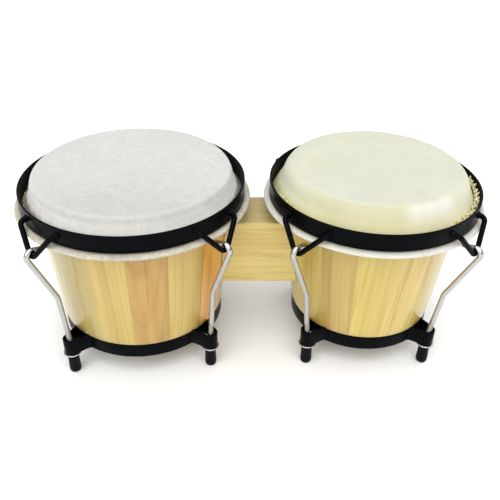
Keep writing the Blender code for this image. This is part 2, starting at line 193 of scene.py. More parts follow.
def filleted(points, bends, closed=False, steps=6):
    """The route through 2-D or 3-D points with its corners rounded. A bend of 0 keeps its corner."""
    points = [Vector(p) for p in points]
    count = len(points)
    route = []
    for i, corner in enumerate(points):
        if not closed and i in (0, count - 1):
            route.append(corner)
            continue
        bend = bends[i] if closed else bends[i - 1]
        back = (points[i - 1] - corner).normalized()
        ahead = (points[(i + 1) % count] - corner).normalized()
        half = back.angle(ahead) / 2
        if bend == 0 or half > pi / 2 - 1e-4:
            route.append(corner)
            continue
        centre = corner + (back + ahead).normalized() * bend / sin(half)
        first = (corner + back * bend / tan(half) - centre).normalized()
        last = (corner + ahead * bend / tan(half) - centre).normalized()
        for step in range(steps + 1):
            route.append(centre + first.slerp(last, step / steps) * bend)
    return [tuple(p) for p in route]


def resampled(route, spacing):
    """Points along the route no more than spacing apart, its own points kept."""
    dense = [Vector(route[0])]
    for a, b in zip(route, route[1:]):
        a, b = Vector(a), Vector(b)
        pieces = max(1, int((b - a).length / spacing + 0.999))
        dense += [a.lerp(b, k / pieces) for k in range(1, pieces + 1)]
    return dense


def length_of(route):
    return sum((b - a).length for a, b in zip(route, route[1:]))


def grid(rows, wrap_rows=False, poles=(None, None)):
    """Points and faces of a grid that closes round its columns. A pole closes the first or the last row."""
    rows = np.asarray(rows, float)
    m, n, _ = rows.shape
    points = [tuple(p) for p in rows.reshape(-1, 3)]
    faces = []
    for i in range(m if wrap_rows else m - 1):
        above, below = i * n, (i + 1) % m * n
        for j in range(n):
            k = (j + 1) % n
            faces.append((above + j, above + k, below + k, below + j))
    for pole, start, turn in ((poles[0], 0, -1), (poles[1], (m - 1) * n, 1)):
        if pole is None:
            continue
        points.append(tuple(pole))
        middle = len(points) - 1
        for j in range(n):
            ends = (start + j, start + (j + 1) % n)
            faces.append((middle, *ends[::turn]))
    return points, faces


def mesh_from(name, points, faces, sharp=35.0):
    mesh = bpy.data.meshes.new(name)
    mesh.from_pydata(points, [], faces)
    mesh.update()
    mesh.calc_loop_triangles()
    corners = np.array(points)[[t.vertices[:] for t in mesh.loop_triangles]]
    if np.linalg.det(corners).sum() < 0:
        mesh.flip_normals()
    mesh.shade_smooth()
    mesh.set_sharp_from_angle(angle=radians(sharp))
    return mesh


def band_outline(outer, inner, low, high, bends=(BAND_EASE,) * 4, steps=4):
    """The section of a band or a washer. Its bends go round from the outer upper corner, outside first."""
    corners = [(outer, high), (outer, low), (inner, low), (inner, high)]
    return filleted(corners, bends, True, steps)


def turned(name, profile, x=0.0, y=0.0, steps=ROUND, sharp=35.0, shift=None):
    """A closed outline of (radius, z) spun about the vertical line through x, y.

    shift(radius, z, angle) may return another (radius, z) for a point. An outline that starts and ends on the
    axis is closed there by a point."""
    poles = [None, None]
    ring = list(profile)
    wrap = True
    if ring[0][0] == 0 and ring[-1][0] == 0:
        poles = [(x, y, ring[0][1]), (x, y, ring[-1][1])]
        ring = ring[1:-1]
        wrap = False
    rows = []
    for radius, z in ring:
        row = []
        for step in range(steps):
            a = 2 * pi * step / steps
            r, h = shift(radius, z, a) if shift else (radius, z)
            row.append((x + r * cos(a), y + r * sin(a), h))
        rows.append(row)
    return mesh_from(name, *grid(rows, wrap, poles), sharp)


def tube(name, route, section, sides=24, side_way=None, matrix=None, sharp=40.0):
    """A closed tube. section(i, distance, angle) gives the offset along the two cross directions.

    side_way fixes the second cross direction, for a route that lies in a plane."""
    route = [Vector(p) for p in route]
    distance = 0.0
    rows = []
    last_normal = None
    for i, place in enumerate(route):
        before, after = route[max(i - 1, 0)], route[min(i + 1, len(route) - 1)]
        along = (after - before).normalized()
        if side_way is not None:
            binormal = Vector(side_way).normalized()
            normal = binormal.cross(along).normalized()
        else:
            start = last_normal or along.orthogonal()
            normal = (start - along * start.dot(along)).normalized()
            binormal = along.cross(normal)
        last_normal = normal
        if i:
            distance += (place - route[i - 1]).length
        row = []
        for side in range(sides):
            a, b = section(i, distance, 2 * pi * side / sides)
            row.append(place + normal * a + binormal * b)
        rows.append(row)
    ends = (sum(rows[0], Vector()) / sides, sum(rows[-1], Vector()) / sides)
    mesh = mesh_from(name, *grid([[tuple(p) for p in row] for row in rows], False, ends), sharp)
    if matrix:
        mesh.transform(matrix)
    return mesh


def read(items, field, width=1, kind=np.float32):
    """A field of a mesh's vertices, loops or faces as a flat array, width values each."""
    values = np.empty(len(items) * width, kind)
    items.foreach_get(field, values)
    return values


def set_attribute(mesh, name, kind, domain, values):
    """Adds an attribute: kind is FLOAT_VECTOR with three values each, or FLOAT_COLOR with four."""
    field = "vector" if kind == "FLOAT_VECTOR" else "color"
    mesh.attributes.new(name, kind, domain).data.foreach_set(field, values)


def remember_place(mesh, x=0.0):
    """Keeps each vertex's rest place beside the drum's axis, for the materials to read."""
    at = read(mesh.vertices, "co", 3)
    at[::3] -= x
    set_attribute(mesh, "place", "FLOAT_VECTOR", "POINT", at)


def add_object(name, data):
    obj = bpy.data.objects.new(name, data)
    bpy.context.scene.collection.objects.link(obj)
    return obj


def add_piece(mesh, look, body, replaced=(), x=0.0, blend=None):
    obj = add_object(mesh.name, mesh)
    for each in look if isinstance(look, (list, tuple)) else [look]:
        mesh.materials.append(each)
    remember_place(mesh, x)
    if blend:
        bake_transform(obj)
    else:
        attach(obj, body)
    if replaced:
        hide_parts(*replaced)
    return obj


def united(name, main, others, sharp=35.0):
    """One mesh from a main mesh and others joined to it by Boolean unions."""
    body = add_object(name, main)
    helpers = []
    for other in others:
        helper = add_object(name + "_helper", other)
        helpers.append(helper)
        union = body.modifiers.new("union", "BOOLEAN")
        union.operation = "UNION"
        union.solver = "EXACT"
        union.object = helper
    bpy.context.view_layer.update()
    graph = bpy.context.evaluated_depsgraph_get()
    made = bpy.data.meshes.new_from_object(body.evaluated_get(graph))
    for obj in [body, *helpers]:
        bpy.data.objects.remove(obj)
    made.name = name
    made.shade_smooth()
    made.set_sharp_from_angle(angle=radians(sharp))
    return made


def wander(x, y=0.0, z=0.0):
    """Smooth noise between about -1 and 1."""
    return noise.noise(Vector((x, y, z)))


def smoothstep(low, high, value):
    t = min(max((value - low) / (high - low), 0.0), 1.0)
    return t * t * (3 - 2 * t)


# ---- materials


class Look:
    """A material built node by node, with short calls for the nodes used here."""

    def __init__(self, name):
        self.material = bpy.data.materials.new(name)
        self.material.use_nodes = True
        self.tree = self.material.node_tree
        self.shader = self.tree.nodes["Principled BSDF"]

    def node(self, kind, inputs=None, **settings):
        made = self.tree.nodes.new("ShaderNode" + kind)
        for key, value in settings.items():
            setattr(made, key, value)
        for key, value in (inputs or {}).items():
            self.feed(made.inputs[key], value)
        return made

    def feed(self, socket, value):
        if isinstance(value, bpy.types.NodeSocket):
            self.tree.links.new(value, socket)
        else:
            socket.default_value = value

    def set(self, **values):
        """Principled sockets by their names, with underscores for spaces."""
        for key, value in values.items():
            self.feed(self.shader.inputs[key.replace("_", " ")], value)

    def attribute(self, name):
        return self.node("Attribute", attribute_name=name)

    def scaled(self, vector, scale):
        return self.node("VectorMath", {0: vector, 1: scale}, operation="MULTIPLY").outputs[0]

    def noise(self, vector, scale, detail=3.0, roughness=0.55, distortion=0.0):
        inputs = {"Vector": vector, "Scale": scale, "Detail": detail}
        inputs |= {"Roughness": roughness, "Distortion": distortion}
        return self.node("TexNoise", inputs).outputs[0]

    def drawn_out(self, vector, across, along, detail, roughness=0.55):
        """Noise of different fineness across and along the vector's Z."""
        return self.noise(self.scaled(vector, (across, across, along)), 1.0, detail, roughness)

    def ramp(self, factor, *stops, smooth=False):
        """A ramp through (position, grey or colour) stops."""
        made = self.node("ValToRGB", {0: factor})
        elements = made.color_ramp.elements
        made.color_ramp.interpolation = "EASE" if smooth else "LINEAR"
        while len(elements) < len(stops):
            elements.new(0.5)
        for element, (position, colour) in zip(elements, stops):
            element.position = position
            element.color = (*colour, 1) if isinstance(colour, tuple) else (colour, colour, colour, 1)
        return made.outputs[0]

    def mix(self, factor, a, b, blend_type="MIX"):
        made = self.node("Mix", data_type="RGBA", blend_type=blend_type)
        for index, value in ((0, factor), (6, a), (7, b)):
            if isinstance(value, tuple) and len(value) == 3:
                value = (*value, 1)
            self.feed(made.inputs[index], value)
        return made.outputs[2]

    def times(self, a, b):
        """Two colours multiplied."""
        return self.mix(1.0, a, b, "MULTIPLY")

    def math(self, operation, a, b=0.0):
        return self.node("Math", {0: a, 1: b}, operation=operation).outputs[0]

    def product(self, a, b):
        return self.math("MULTIPLY", a, b)

    def bump(self, height, distance, strength=1.0, normal=None):
        inputs = {"Height": height, "Distance": distance, "Strength": strength}
        if normal:
            inputs["Normal"] = normal
        return self.node("Bump", inputs).outputs[0]


LACQUERED = 0.4  # wood with a roughness below this has a clear coat


def wood_look(name, gloss, dark, ring_depth, fibre_depth):
    """Softwood with darker year rings, pores and streaks, lacquered where gloss, its roughness, is low.

    dark multiplies the tone in them, and ring_depth and fibre_depth say how strongly rings and fibres show.
    The tree attribute gives the place in the tree that each board was sawn from, its pith along Z."""
    look = Look(name)
    tree = look.attribute("tree").outputs["Vector"]
    tone = look.attribute("tone").outputs["Color"]
    drift = look.drawn_out(tree, 22.0, 4.0, 2.0)
    parts = look.node("SeparateXYZ", {0: tree})
    x, y = parts.outputs[0], parts.outputs[1]
    distance = look.math("SQRT", look.math("ADD", look.product(x, x), look.product(y, y)))
    rings = look.math("ADD", look.product(distance, 250.0), look.product(drift, 1.4))
    wave = look.math("FRACT", rings)
    late = look.ramp(wave, (0.0, 0.0), (0.55, 0.12), (0.86, 1.0), (0.95, 0.35), (1.0, 0.0), smooth=True)
    strength = look.ramp(look.drawn_out(tree, 60.0, 5.0, 1.0), (0.3, 0.45), (0.72, 1.0))
    late = look.times(late, strength)
    fibres = look.drawn_out(tree, 1500.0, 30.0, 3.0, 0.65)
    pores = look.ramp(look.drawn_out(tree, 900.0, 16.0, 2.0), (0.60, 0.0), (0.74, 1.0))
    clouds = look.drawn_out(tree, 34.0, 7.0, 3.0)
    bands = look.drawn_out(tree, 75.0, 3.0, 2.0)
    streaks = look.ramp(look.drawn_out(tree, 165.0, 7.0, 3.0), (0.56, 0.0), (0.72, 1.0))

    deep = look.times(tone, dark)
    colour = look.mix(look.product(late, ring_depth), tone, deep)
    colour = look.mix(look.product(pores, 0.16), colour, deep)
    colour = look.mix(look.product(streaks, 0.8), colour, deep)
    colour = look.times(colour, look.ramp(clouds, (0.30, 0.92), (0.70, 1.05)))
    colour = look.times(colour, look.ramp(bands, (0.34, (0.93, 0.88, 0.80)), (0.66, (1.05, 1.08, 1.12))))
    grain = look.ramp(fibres, (0.30, 1.0 - fibre_depth), (0.70, 1.0 + fibre_depth))
    colour = look.times(colour, grain)
    height = look.mix(0.35, fibres, late)
    look.set(
        Base_Color=colour,
        Roughness=look.ramp(clouds, (0.25, gloss + 0.16), (0.75, gloss + 0.04)),
        Normal=look.bump(height, 0.04 * MM, 0.5),
        Specular_IOR_Level=0.3,
    )
    if gloss < LACQUERED:
        look.set(Coat_Weight=0.6, Coat_Roughness=0.06, Coat_IOR=1.5)
    return look.material


def skin_look(name, speckle, mottle, fleck, patchy, rough):
    """Rawhide: a tone from the mesh, with clouds, mottling, fine fibres that cross, flecks and patches."""
    look = Look(name)
    place = look.attribute("place").outputs["Vector"]
    tone = look.attribute("tone").outputs["Color"]
    clouds = look.noise(place, 45.0, 4.0, 0.6)
    fibres = look.noise(look.scaled(place, (1.0, 2.6, 1.0)), 420.0, 5.0, 0.72, 0.6)
    crossing = look.noise(look.scaled(place, (2.8, 1.0, 1.0)), 300.0, 4.0, 0.7, 0.4)
    grain = look.mix(0.5, fibres, crossing)
    flecks = look.ramp(look.noise(place, 260.0, 3.0, 0.6), (0.64, 0.0), (0.76, 1.0))
    patches = look.ramp(look.noise(place, 24.0, 3.0, 0.6), (0.50, 0.0), (0.72, 1.0))
    blots = look.noise(look.scaled(place, (1.0, 1.5, 1.0)), 150.0, 4.0, 0.68, 0.8)

    colour = look.times(tone, look.ramp(clouds, (0.30, 0.955), (0.70, 1.03)))
    colour = look.times(colour, look.ramp(grain, (0.34, 1.0 - speckle), (0.62, 1.0 + 0.4 * speckle)))
    colour = look.times(colour, look.ramp(blots, (0.34, 1.0 - mottle), (0.60, 1.0 + 0.3 * mottle)))
    stained = look.times(tone, fleck)
    colour = look.mix(look.product(flecks, 0.35), colour, stained)
    colour = look.mix(look.product(patches, patchy), colour, stained)
    fine = look.bump(grain, 0.10 * MM, 0.7)
    look.set(
        Base_Color=colour,
        Roughness=look.ramp(grain, (0.3, rough + 0.12), (0.7, rough - 0.06)),
        Normal=look.bump(clouds, 0.35 * MM, 0.6, fine),
        Specular_IOR_Level=0.42,
        Subsurface_Weight=0.12,
        Subsurface_Radius=(0.9, 0.75, 0.5),
        Subsurface_Scale=0.0025,
    )
    return look.material


def coat_look():
    """Black powder coat with a faint orange peel, and thin dusty scuffs."""
    look = Look("black_powder_coat")
    place = look.attribute("place").outputs["Vector"]
    peel = look.noise(place, 1400.0, 2.0, 0.5)
    broad = look.noise(place, 60.0, 3.0, 0.6)
    rubbed = look.noise(look.scaled(place, (1.0, 1.0, 6.0)), 240.0, 4.0, 0.7)
    scuffs = look.ramp(rubbed, (0.67, 0.0), (0.80, 1.0))
    colour = look.mix(look.product(scuffs, 0.30), srgb(4, 5, 8), srgb(26, 27, 32))
    look.set(
        Base_Color=colour,
        Roughness=look.ramp(broad, (0.3, 0.27), (0.7, 0.40)),
        Normal=look.bump(peel, 0.03 * MM, 0.55),
        Specular_IOR_Level=0.045,
    )
    return look.material


NO_STAIN = -1.0  # a stain_top below every piece


def chrome_look(name, tint, rough, stain_top):
    """Plated steel with fine draw marks, duller and browner below stain_top, where the thread is."""
    look = Look(name)
    place = look.attribute("place").outputs["Vector"]
    height = look.node("SeparateXYZ", {0: place}).outputs[2]
    marks = look.drawn_out(place, 900.0, 160.0, 3.0, 0.6)
    clouds = look.noise(place, 140.0, 3.0, 0.6)
    fade = {"Value": height, "From Min": stain_top + 6 * MM, "From Max": stain_top, "To Max": 0.55}
    below = look.node("MapRange", fade).outputs[0]
    worn = look.product(below, look.ramp(clouds, (0.35, 0.35), (0.65, 1.0)))
    colour = look.mix(worn, tint, srgb(150, 138, 120))
    rougher = look.product(worn, 0.25)
    look.set(
        Base_Color=colour,
        Metallic=1.0,
        Roughness=look.math("ADD", look.ramp(clouds, (0.3, rough), (0.7, rough + 0.07)), rougher),
        Normal=look.bump(marks, 0.008 * MM, 0.5),
    )
    return look.material


def rubber_look():
    look = Look("black_rubber")
    place = look.attribute("place").outputs["Vector"]
    fine = look.noise(place, 1800.0, 3.0, 0.6)
    dust = look.ramp(look.noise(place, 220.0, 4.0, 0.65), (0.45, 0.0), (0.75, 1.0))
    look.set(
        Base_Color=look.mix(look.product(dust, 0.25), srgb(5, 5, 6), srgb(22, 22, 22)),
        Roughness=look.ramp(dust, (0.0, 0.42), (1.0, 0.62)),
        Normal=look.bump(fine, 0.05 * MM, 0.5),
        Specular_IOR_Level=0.09,
    )
    return look.material


# ---- wooden shells

STRAW = (204, 185, 107)
HONEY = (193, 170, 93)
TAN = (203, 176, 99)
SALMON = (182, 147, 79)
AMBER = (232, 174, 82)
PALE = (196, 179, 124)
BUTTER = (206, 183, 106)
SAND = (197, 176, 95)
OLIVE = (179, 163, 100)
BROWN = (184, 159, 88)

# Each stave's colour, counter-clockwise from the drum's stave_start at its front
STAVE_TONES = {
    "large": (
        (SALMON, TAN, AMBER, HONEY, STRAW)
        + (TAN, PALE, HONEY, STRAW, SALMON)
        + (HONEY, STRAW, PALE, OLIVE, HONEY)
    ),
    "small": (
        (SAND, BUTTER, BUTTER, STRAW, HONEY)
        + (BUTTER, SAND, STRAW, BUTTER, HONEY)
        + (BUTTER, STRAW, SAND, SAND, BROWN)
    ),
}
# Where the first stave's pith lies, as stave_pith gives it: the large drum's makes the arch in its front
ARCH = {"large": (-5.5 * MM, 33 * MM, 0.0, -0.08), "small": (20 * MM, 26 * MM, 0.05, -0.01)}

ARCH_HEIGHT = 68 * MM
BOARDS_APART = 0.31  # metres along the tree, so that no two staves look alike


def stave_pith(drum, k):
    """Where a stave's pith lies: across, behind the face, and its two slopes."""
    if k == 0:
        return ARCH[drum.name]
    seed = 3.7 if drum.name == "large" else 9.1
    side = 1 if wander(k * 1.37, seed) > 0 else -1
    across = side * (14 + 26 * abs(wander(k * 2.11, seed + 5))) * MM
    behind = (14 + 22 * abs(wander(k * 1.71, seed + 9))) * MM
    lean = (0.05 if drum.name == "large" else 0.12) * wander(k * 3.3, seed + 2)
    return across, behind, lean, 0.03 * wander(k * 2.9, seed + 7)


def shell_outline(drum):
    """The section, in (radius, z): down the outside, round the rebate and foot, and up the inside."""
    top = drum.shell_high
    low = drum.edge_start
    reach = drum.shoulder[0] - BEARING_EDGE_INSET
    outside = []
    for a in np.linspace(pi / 2, 0, 13):
        outside.append((drum.shell_radius(low) - reach + reach * cos(a), low + (top - low) * sin(a)))
    seat = drum.ring_high + GAP
    for z in np.linspace(low, seat + 0.5 * MM, 25)[1:]:
        outside.append((drum.shell_radius(z), z))
    rebate = drum.ring_radius - BAND_WALL - GAP
    bottom = drum.shell_low
    inner_low = drum.shell_radius(bottom) - SHELL_WALL
    across, down = INNER_CHAMFER
    inner_top = min(drum.shell_radius(top) - SHELL_WALL, outside[0][0] - across)
    foot = [
        (drum.shell_radius(seat) - 0.3 * MM, seat),
        (rebate, seat),
        (rebate, bottom + SHELL_EASE),
        (rebate - SHELL_EASE, bottom),
        (inner_low + SHELL_EASE, bottom),
        (inner_low, bottom + SHELL_EASE),
    ]
    taper = np.linspace(bottom, WALL_THICKENS_Z, 15)[1:]
    inside = [(drum.shell_radius(z) - SHELL_WALL, z) for z in taper]
    return outside, foot, inside + [(inner_top, top - down)]


def make_shell(drum, looks):
    outside, foot, inside = shell_outline(drum)
    per_stave = ROUND // STAVES

    def row(radius, z, groove):
        """A ring of points whose columns bunch at each glue line, with a fine groove there."""
        made = []
        for stave in range(STAVES):
            for step in range(per_stave):
                share = {1: 0.012, per_stave - 1: 0.988}.get(step, step / per_stave)
                a = drum.stave_start + 2 * pi * (stave + share) / STAVES
                r = radius - (groove if step == 0 else 0.0)
                made.append((drum.x + r * cos(a), r * sin(a), z))
        return made

    rows = [row(r, z, GLUE_GROOVE) for r, z in outside]
    rows += [row(r, z, 0.0) for r, z in foot + inside]
    mesh = mesh_from("shell_staves_" + drum.name, *grid(rows, True), 50.0)
    face = np.arange(len(mesh.polygons))
    raw = face // ROUND >= len(outside) + len(foot) - 1
    mesh.polygons.foreach_set("material_index", raw.astype(np.int32))
    paint_wood(mesh, drum, face % ROUND // per_stave)
    add_piece(mesh, looks, "drums", ["shell_" + drum.name], drum.x)


def paint_wood(mesh, drum, stave_of):
    """Sets the tree and tone attributes on each face corner. stave_of gives each face's stave."""
    stave = np.repeat(stave_of, read(mesh.polygons, "loop_total", kind=np.int32))
    corner_vertex = read(mesh.loops, "vertex_index", kind=np.int32)
    at = read(mesh.vertices, "co", 3).reshape(-1, 3)[corner_vertex]
    width = 2 * pi / STAVES
    angle = np.arctan2(at[:, 1], at[:, 0] - drum.x)
    middle = drum.stave_start + (stave + 0.5) * width
    off = (angle - middle + pi) % (2 * pi) - pi
    radius = np.hypot(at[:, 0] - drum.x, at[:, 1])
    across = radius * off
    depth = drum.shell_radius(at[:, 2]) - radius
    height = at[:, 2] - drum.ring_high
    piths = np.array([stave_pith(drum, k) for k in range(STAVES)])[stave]
    tones = np.array([srgb(*tone) for tone in STAVE_TONES[drum.name]])[stave]
    tree = np.stack(
        [
            across - piths[:, 0] - piths[:, 2] * height,
            piths[:, 1] - depth + piths[:, 3] * (height - ARCH_HEIGHT),
            height + stave * BOARDS_APART,
        ],
        axis=1,
    )
    set_attribute(mesh, "tree", "FLOAT_VECTOR", "CORNER", tree.astype(np.float32).ravel())
    tones = np.c_[tones, np.ones(len(tones))]
    set_attribute(mesh, "tone", "FLOAT_COLOR", "CORNER", tones.astype(np.float32).ravel())


# ---- skins

# Rawhide's colours, 0 to 255: the face, the crest round it, the shoulder, the collar and the rolled edge
# Painted light: the shoulder, and the small drum's collar, are lighter than the face, to offset their shade
SKIN_TONES = {
    "large": ((194, 194, 191), (185, 184, 180), (236, 235, 228), (160, 156, 136), (196, 191, 175)),
    "small": ((196, 197, 180), (187, 184, 152), (213, 208, 163), (216, 211, 162), (206, 204, 195)),
}


def skin_tone(drum, radius, z, angle):
    """The rawhide's colour at a place, before the material's own clouds and fibres.

    The crest and the shoulder get painted light: paler at the sides and back than at the front."""
    face, crest, shoulder, collar, edge = (np.array(colour) for colour in SKIN_TONES[drum.name])
    x, y = radius * cos(angle), radius * sin(angle)
    grit = wander(x * 420, y * 420, z * 420)
    if drum.name == "large":
        # A faint yellow stain near the front, and a face that darkens a little towards it
        from_stain = hypot(x - 38 * MM, 1.6 * (y + 81 * MM))
        face = face + (1 - smoothstep(1 * MM, 10 * MM, from_stain)) * np.array((0, -4, -14))
        face = face - 9 * smoothstep(15 * MM, 85 * MM, -y)
        # Painted light: the crest and the shoulder are paler at the sides and back, away from the front
        side_light_and_tint = 1 - smoothstep(0.1, 0.9, cos(angle - radians(-90)))
        crest = crest + side_light_and_tint * np.array((22, 22, 22))
        shoulder = shoulder + side_light_and_tint * np.array((14, 14, 14))
        crest_end = drum.top - 0.7 * MM
        bright_from, bright_to = drum.top - 3 * MM, drum.top - 10 * MM
        edge = edge - 30 * max(0.0, grit + 0.15) - 20 * max(0.0, wander(x * 130, y * 130, 3))
    else:
        # Painted light: paler crest and shoulder away from the front, whose own tone is yellower, and a
        # painted highlight at the front right
        side_light_and_tint = 1 - smoothstep(0.45, 0.95, cos(angle - radians(-95)))
        painted_highlight = smoothstep(0.93, 0.99, cos(angle - radians(-66))) * np.array((18, 19, 38))
        crest = crest + side_light_and_tint * np.array((16, 18, 28)) + painted_highlight
        shoulder = shoulder + side_light_and_tint * np.array((14, 16, 34)) + 0.35 * painted_highlight
        crest_end = drum.top - 2 * MM
        bright_from, bright_to = drum.top - 5 * MM, drum.edge_start + 2 * MM
        edge = edge - 14 * max(0.0, grit)
    tone = face + (crest - face) * smoothstep(drum.top, crest_end, z)
    # Painted light: the shoulder's tone is lighter, to offset the shade on its steep side
    tone = tone + (shoulder - tone) * smoothstep(bright_from, bright_to, z)
    # The small drum's collar tone is painted lighter, to offset the shade between head and rim
    tone = tone + (collar - tone) * smoothstep(drum.edge_start, drum.edge_start - 4 * MM, z)
    return tone + (edge - tone) * smoothstep(drum.collar_end, drum.edge_high, z)


def paint_tone(mesh, tone_at):
    """Sets the tone attribute from tone_at(place), which gives 0 to 255 values."""
    tones = []
    for vertex in mesh.vertices:
        tones += [*srgb(*np.clip(tone_at(vertex.co), 0, 255)), 1.0]
    set_attribute(mesh, "tone", "FLOAT_COLOR", "POINT", tones)


def skin_route(drum, face_steps=26, shoulder_steps=12, collar_steps=14, edge_steps=30):
    """The skin's middle line in section, from the head's middle to the tucked end, and the edge's middle.

    Each point is (radius, z, pleat, lump): the last two say how much it follows the collar's pleats and the
    rolled edge's lumps."""
    reach = drum.shoulder[0]
    t = SKIN / 2
    outer = drum.shell_radius_top + GAP + t
    flat = outer - reach
    top = drum.top - t
    low = drum.edge_start
    route = [(flat * (k / face_steps) ** 0.8, top, 0.0, 0.0) for k in range(face_steps + 1)]
    for step in range(1, shoulder_steps + 1):
        a = pi / 2 + (SHOULDER_END - pi / 2) * step / shoulder_steps
        route.append((flat + reach * cos(a), low + (top - low) * sin(a), 0.0, 0.0))

    # A cubic curve that leaves the shoulder smoothly and flares out to the collar's foot
    leave = Vector(route[-1][:2])
    foot = Vector((drum.collar_radius - t, drum.collar_end))
    length = (foot - leave).length
    down = Vector((reach * sin(SHOULDER_END), (low - top) * cos(SHOULDER_END))).normalized() * length
    flare = (foot - Vector((outer, low))).normalized() * length
    for step in range(1, collar_steps + 1):
        k = step / collar_steps
        point = leave * (1 + k * k * (2 * k - 3)) + foot * (k * k * (3 - 2 * k))
        point += down * (k * (1 - k) ** 2) - flare * (k * k * (1 - k))
        route.append((*point, smoothstep(0.2, 0.8, k), 0.0))

    half_wide = EDGE_HALF_WIDTH - t
    half_tall = (drum.edge_high - drum.edge_low) / 2 - t
    centre = (drum.edge_radius - EDGE_HALF_WIDTH, (drum.edge_high + drum.edge_low) / 2)
    curl_start, curl = EDGE_CURL
    for step in range(edge_steps + 1):
        a = curl_start + curl * step / edge_steps
        point = (centre[0] + half_wide * cos(a), centre[1] + half_tall * sin(a))
        route.append((*point, 0.6 * (1 - smoothstep(0, 8, step)), smoothstep(2, 8, step)))
    return route, centre


def make_skin(drum, look):
    """Head, collar and rolled edge as the one sheet that they are, SKIN thick."""
    route, centre = skin_route(drum)
    seed = 1.3 if drum.name == "large" else 6.8
    columns = 2 * ROUND
    count = len(route)
    offsets = []
    for i in range(count):
        before, after = route[max(i - 1, 0)], route[min(i + 1, count - 1)]
        along = Vector((after[0] - before[0], after[1] - before[1])).normalized()
        offsets.append((-along.y * SKIN / 2, along.x * SKIN / 2))

    def rows_of(side, order):
        """The rows of one face of the sheet: side is 1 for the face seen and -1 for the one under it."""
        rows = []
        for i in order:
            radius, z, pleat, lump = route[i]
            r0, z0 = radius + side * offsets[i][0], z + side * offsets[i][1]
            row = []
            for j in range(columns):
                a = 2 * pi * j / columns
                ca, sa = cos(a), sin(a)
                r, h = r0, z0
                if pleat:
                    fold = wander(22 * ca, 22 * sa, seed) + 0.6 * wander(55 * ca, 55 * sa, seed + z * 40)
                    r += pleat * 0.9 * MM * fold
                if lump:
                    swell = 0.5 + 0.5 * wander(26 * ca, 26 * sa, seed + 3)
                    rough = wander(90 * ca, 90 * sa, seed + i * 0.16)
                    shrink = 1 - lump * (0.15 * swell + 0.09 * abs(rough))
                    r = centre[0] + (r - centre[0]) * (1 - lump * 0.04 * swell)
                    h = centre[1] + (h - centre[1]) * shrink
                if not pleat and not lump:
                    h -= 0.12 * MM * (1 + wander(30 * radius * ca + 4, 30 * radius * sa, seed))
                row.append((drum.x + r * ca, r * sa, h))
            rows.append(row)
        return rows

    rows = rows_of(-1, range(1, count)) + rows_of(1, range(count - 1, 0, -1))
    top = drum.top - SKIN_SAG
    poles = ((drum.x, 0, top - SKIN), (drum.x, 0, top))
    mesh = mesh_from("skin_" + drum.name, *grid(rows, False, poles), 60.0)

    def tone_at(place):
        x, y = place.x - drum.x, place.y
        return skin_tone(drum, hypot(x, y), place.z, atan2(y, x))

    paint_tone(mesh, tone_at)
    start = (drum.x, 0, drum.edge_start - 1 * MM)
    end = (drum.x, 0, drum.edge_high + 2 * MM)
    stretch = (("drums", "rim_" + drum.name), start, end)
    replaced = ["head_" + drum.name, "head_edge_" + drum.name]
    add_piece(mesh, look, None, replaced, drum.x, stretch)


# The trimmed end's colours: painted shade deep in a crease, on a fold's side and along the cut
TRIM_TONES = {
    "large": ((62, 57, 42), (150, 143, 118), (196, 190, 168)),
    "small": ((70, 62, 22), (176, 164, 92), (236, 230, 188)),
}
TRIM_WAVES = 74  # ruffles round a drum
TRIM_STEPS = 1500
TRIM_LEVELS = 8
TRIM_THICK = 0.7 * MM


def trim_height(drum, angle):
    """How far the skin's ragged trimmed end stands up behind the rim, by angle."""
    a = (degrees(angle) + 180) % 360 - 180
    if drum.name == "small":
        right = smoothstep(-72, -48, a) * (1 - smoothstep(4, 18, a))
        left = smoothstep(-180, -165, a) * (1 - smoothstep(-136, -116, a)) if a < 0 else 0.0
        return (3.0 + 10.0 * right + 8.5 * left) * MM
    left = smoothstep(-180, -172, a) * (1 - smoothstep(-160, -150, a)) if a < 0 else smoothstep(172, 180, a)
    return (2.0 + 2.6 * left) * MM


def make_trim(drum, look):
    """The trimmed end of the skin, standing up behind the rim and ruffled where it is long."""
    seed = 4.4 if drum.name == "large" else 8.2
    base = drum.edge_high + 0.4 * MM
    inner = drum.rim_radius - BAND_WALL
    top_level = TRIM_LEVELS - 1
    crease_shade, fold, lip = (np.array(colour) for colour in TRIM_TONES[drum.name])
    outwards = [(level, 1) for level in range(TRIM_LEVELS)]
    inwards = [(level, -1) for level in range(top_level, -1, -1)]
    rows, tones = [], []
    for step in range(TRIM_STEPS):
        a = 2 * pi * step / TRIM_STEPS
        ca, sa = cos(a), sin(a)
        ragged = 1 + 0.16 * wander(40 * ca, 40 * sa, seed) + 0.10 * wander(150 * ca, 150 * sa, seed + 2)
        tall = trim_height(drum, a) * ragged
        phase = a * TRIM_WAVES + 2.0 * wander(12 * ca, 12 * sa, seed + 5)
        loose = smoothstep(3.5 * MM, 8 * MM, tall)
        swing = (0.3 + 1.9 * loose) * MM * (1 + 0.25 * wander(9 * ca, 9 * sa, seed + 7))
        curl = 0.9 * MM * loose * sin(2 * phase)
        row = []
        for level, side in outwards + inwards:
            share = level / top_level
            half = TRIM_THICK / 2 * (0.4 if level == top_level else 1.0)
            r = inner - (2.3 + 1.0 * loose * share) * MM + swing * share * sin(phase) + side * half
            shift = curl * share / r
            row.append((drum.x + r * cos(a + shift), r * sin(a + shift), base + tall * share))
            towards_lip = smoothstep(0.72, 0.95, share)
            # Painted light and shade: the crease shade low down and in each fold's trough, lighter up the
            # strip and on the ruffles' crests
            fold_light = smoothstep(0.1, 0.9, share) * (0.55 + 0.45 * sin(phase))
            tone = crease_shade + (fold - crease_shade) * fold_light
            tones += [*srgb(*(tone + (lip - tone) * towards_lip)), 1.0]
        rows.append(row)
    mesh = mesh_from("skin_trim_" + drum.name, *grid(rows, True), 60.0)
    set_attribute(mesh, "tone", "FLOAT_COLOR", "POINT", tones)
    add_piece(mesh, look, "rim_" + drum.name, (), drum.x)


# ---- rims


